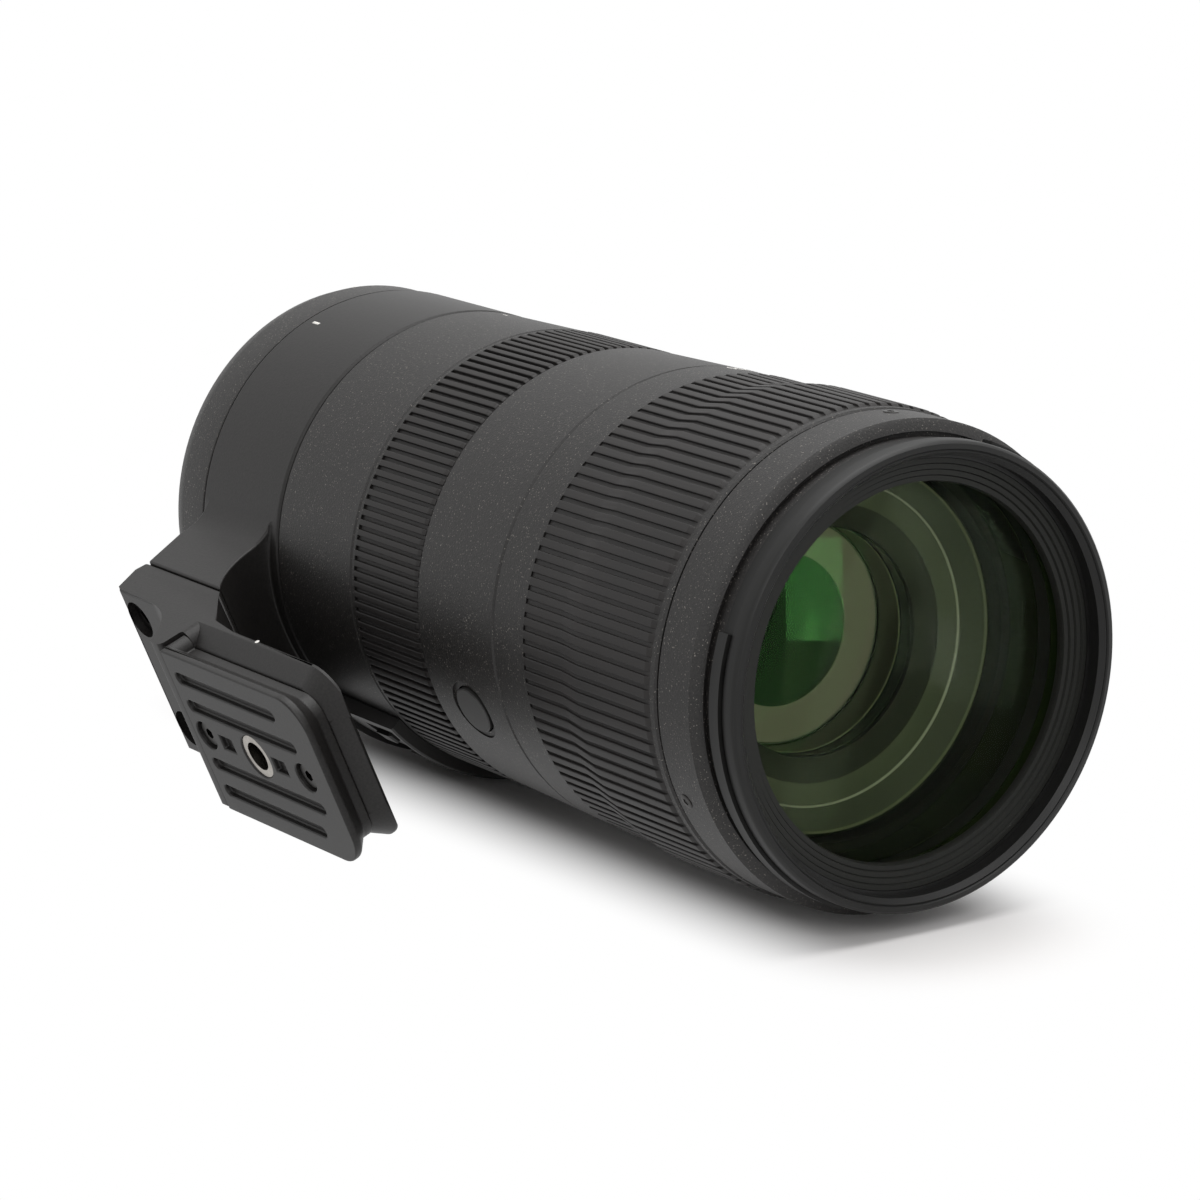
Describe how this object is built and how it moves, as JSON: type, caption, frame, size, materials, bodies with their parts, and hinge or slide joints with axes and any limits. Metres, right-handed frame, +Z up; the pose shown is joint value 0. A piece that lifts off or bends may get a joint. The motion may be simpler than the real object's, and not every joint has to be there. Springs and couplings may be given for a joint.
{
  "type": "camera zoom lens",
  "caption": "Large fixed-length camera zoom lens with ribbed zoom and focus rings, front glass in a grooved ring, and a rotating tripod collar with a dovetail foot.",
  "frame": {"origin": "centre of the camera flange, on the optical axis", "axes": "optical axis along Y with the front glass towards -Y and the camera mount towards +Y; +Z up as the lens lies on a table"},
  "size_m": [0.135, 0.2083, 0.0954],
  "materials": {
    "barrel_paint": "fine textured dark charcoal paint on light alloy",
    "collar_paint": "satin black paint on light alloy",
    "gloss_black": "smooth satin black paint on light alloy",
    "black_metal": "black anodised aluminium",
    "grip_rubber": "moulded ribbed rubber",
    "front_glass": "coated optical glass",
    "lens_glass": "coated optical glass",
    "black_plastic": "matt black moulded plastic",
    "dark_steel": "blackened steel",
    "blade_steel": "thin blackened spring steel",
    "bright_steel": "turned stainless steel",
    "mount_metal": "chromed brass",
    "brass_metal": "gold-plated brass",
    "board_green": "glass-fibre circuit board"
  },
  "bodies": {
    "barrel": {"fixed_tube": "black_metal", "front_barrel": "barrel_paint", "filter_ring": "gloss_black", "front_retaining_ring": "black_metal", "front_element": "front_glass", "front_group_elements": "lens_glass", "front_cell": "black_metal", "guide_tube": "black_metal", "focus_motor_stator": "brass_metal", "mid_barrel": "barrel_paint", "switch_barrel": "barrel_paint", "switch_panel": "black_plastic", "aperture_housing": "black_plastic", "stabiliser_base": "black_metal", "rear_cell": "black_metal", "rear_elements": "lens_glass", "rear_cover": "barrel_paint", "mount_flange": "mount_metal", "rear_baffle": "black_plastic", "contact_block": "black_plastic", "contact_pins": "brass_metal", "mount_seal": "grip_rubber", "circuit_board": "board_green"},
    "zoom": {"zoom_ring": "barrel_paint", "zoom_rubber": "grip_rubber", "cam_tube": "black_metal"},
    "variator": {"variator_cell": "black_metal", "variator_elements": "lens_glass"},
    "compensator": {"compensator_cell": "black_metal", "compensator_elements": "lens_glass"},
    "focus": {"focus_ring": "barrel_paint", "focus_rubber": "grip_rubber", "focus_cam": "black_metal"},
    "focus_group": {"focus_cell": "black_metal", "focus_elements": "lens_glass"},
    "aperture_drive": {"aperture_ring": "black_plastic"},
    "stabiliser_cross": {"stabiliser_frame": "black_plastic"},
    "stabiliser_lens": {"stabiliser_cell": "black_plastic", "stabiliser_element": "lens_glass"},
    "collar": {"tripod_collar": "collar_paint", "foot": "collar_paint", "foot_bolts": "dark_steel", "dovetail_pad": "collar_paint", "tripod_insert": "bright_steel"},
    "knob": {"lock_knob": "collar_paint"},
    "button_1": {"function_button_1": "black_plastic"},
    "button_2": {"function_button_2": "black_plastic"},
    "button_3": {"function_button_3": "black_plastic"},
    "switch_1": {"slide_switch_1": "black_plastic"},
    "switch_2": {"slide_switch_2": "black_plastic"},
    "switch_3": {"slide_switch_3": "black_plastic"},
    "switch_4": {"slide_switch_4": "black_plastic"},
    "blade_1": {"aperture_blade_1": "blade_steel"},
    "blade_2": {"aperture_blade_2": "blade_steel"},
    "blade_3": {"aperture_blade_3": "blade_steel"},
    "blade_4": {"aperture_blade_4": "blade_steel"},
    "blade_5": {"aperture_blade_5": "blade_steel"},
    "blade_6": {"aperture_blade_6": "blade_steel"},
    "blade_7": {"aperture_blade_7": "blade_steel"},
    "blade_8": {"aperture_blade_8": "blade_steel"}
  },
  "joints": [
    {"name": "zoom_turn", "type": "hinge", "parent": "barrel", "child": "zoom", "pos_m": [0, 0, 0], "axis": [0, 1, 0], "range_deg": [0, 80]},
    {"name": "variator_slide", "type": "slide", "parent": "barrel", "child": "variator", "axis": [0, 1, 0], "range_m": [0, 0.034]},
    {"name": "compensator_slide", "type": "slide", "parent": "barrel", "child": "compensator", "axis": [0, -1, 0], "range_m": [0, 0.008]},
    {"name": "focus_turn", "type": "hinge", "parent": "barrel", "child": "focus", "pos_m": [0, 0, 0], "axis": [0, 1, 0], "range_deg": [0, 90]},
    {"name": "focus_slide", "type": "slide", "parent": "barrel", "child": "focus_group", "axis": [0, -1, 0], "range_m": [0, 0.005]},
    {"name": "aperture_turn", "type": "hinge", "parent": "barrel", "child": "aperture_drive", "pos_m": [0, 0, 0], "axis": [0, -1, 0], "range_deg": [0, 30]},
    {"name": "stabiliser_sideways", "type": "slide", "parent": "barrel", "child": "stabiliser_cross", "axis": [1, 0, 0], "range_m": [-0.0008, 0.0008], "stiffness_N_per_m": 1000},
    {"name": "stabiliser_upright", "type": "slide", "parent": "stabiliser_cross", "child": "stabiliser_lens", "axis": [0, 0, 1], "range_m": [-0.0008, 0.0008], "stiffness_N_per_m": 1000},
    {"name": "collar_turn", "type": "hinge", "parent": "barrel", "child": "collar", "pos_m": [0, 0, 0], "axis": [0, 1, 0], "continuous": true},
    {"name": "knob_turn", "type": "hinge", "parent": "collar", "child": "knob", "pos_m": [0.0475, -0.0332, -0.02568], "axis": [0.8796, 0, -0.4756], "range_deg": [0, 360]},
    {"name": "button_1_press", "type": "slide", "parent": "barrel", "child": "button_1", "axis": [0.91, 0, 0.4147], "range_m": [0, 0.0006], "stiffness_N_per_m": 500, "springref_m": -0.0006},
    {"name": "button_2_press", "type": "slide", "parent": "barrel", "child": "button_2", "axis": [-0.4147, 0, 0.91], "range_m": [0, 0.0006], "stiffness_N_per_m": 500, "springref_m": -0.0006},
    {"name": "button_3_press", "type": "slide", "parent": "barrel", "child": "button_3", "axis": [-0.91, 0, -0.4147], "range_m": [0, 0.0006], "stiffness_N_per_m": 500, "springref_m": -0.0006},
    {"name": "switch_1_slide", "type": "slide", "parent": "barrel", "child": "switch_1", "axis": [0, 1, 0], "range_m": [0, 0.0044]},
    {"name": "switch_2_slide", "type": "slide", "parent": "barrel", "child": "switch_2", "axis": [0, 1, 0], "range_m": [0, 0.0044]},
    {"name": "switch_3_slide", "type": "slide", "parent": "barrel", "child": "switch_3", "axis": [0, 1, 0], "range_m": [0, 0.0044]},
    {"name": "switch_4_slide", "type": "slide", "parent": "barrel", "child": "switch_4", "axis": [0, 1, 0], "range_m": [0, 0.0044]},
    {"name": "blade_1_swing", "type": "hinge", "parent": "barrel", "child": "blade_1", "pos_m": [0, -0.069, 0.0319], "axis": [0, -1, 0], "range_deg": [0, 34]},
    {"name": "blade_2_swing", "type": "hinge", "parent": "barrel", "child": "blade_2", "pos_m": [-0.02256, -0.069, 0.02256], "axis": [0, -1, 0], "range_deg": [0, 34]},
    {"name": "blade_3_swing", "type": "hinge", "parent": "barrel", "child": "blade_3", "pos_m": [-0.0319, -0.069, 0], "axis": [0, -1, 0], "range_deg": [0, 34]},
    {"name": "blade_4_swing", "type": "hinge", "parent": "barrel", "child": "blade_4", "pos_m": [-0.02256, -0.069, -0.02256], "axis": [0, -1, 0], "range_deg": [0, 34]},
    {"name": "blade_5_swing", "type": "hinge", "parent": "barrel", "child": "blade_5", "pos_m": [0, -0.069, -0.0319], "axis": [0, -1, 0], "range_deg": [0, 34]},
    {"name": "blade_6_swing", "type": "hinge", "parent": "barrel", "child": "blade_6", "pos_m": [0.02256, -0.069, -0.02256], "axis": [0, -1, 0], "range_deg": [0, 34]},
    {"name": "blade_7_swing", "type": "hinge", "parent": "barrel", "child": "blade_7", "pos_m": [0.0319, -0.069, 0], "axis": [0, -1, 0], "range_deg": [0, 34]},
    {"name": "blade_8_swing", "type": "hinge", "parent": "barrel", "child": "blade_8", "pos_m": [0.02256, -0.069, 0.02256], "axis": [0, -1, 0], "range_deg": [0, 34]}
  ],
  "couplings": [
    {"joint": "variator_slide", "follows": "zoom_turn", "m_per_rad": 0.024351},
    {"joint": "compensator_slide", "follows": "zoom_turn", "m_per_rad": 0.0057296},
    {"joint": "focus_slide", "follows": "focus_turn", "m_per_rad": 0.0031831},
    {"joint": "blade_1_swing", "follows": "aperture_turn", "ratio": 1.1333},
    {"joint": "blade_2_swing", "follows": "aperture_turn", "ratio": 1.1333},
    {"joint": "blade_3_swing", "follows": "aperture_turn", "ratio": 1.1333},
    {"joint": "blade_4_swing", "follows": "aperture_turn", "ratio": 1.1333},
    {"joint": "blade_5_swing", "follows": "aperture_turn", "ratio": 1.1333},
    {"joint": "blade_6_swing", "follows": "aperture_turn", "ratio": 1.1333},
    {"joint": "blade_7_swing", "follows": "aperture_turn", "ratio": 1.1333},
    {"joint": "blade_8_swing", "follows": "aperture_turn", "ratio": 1.1333}
  ]
}
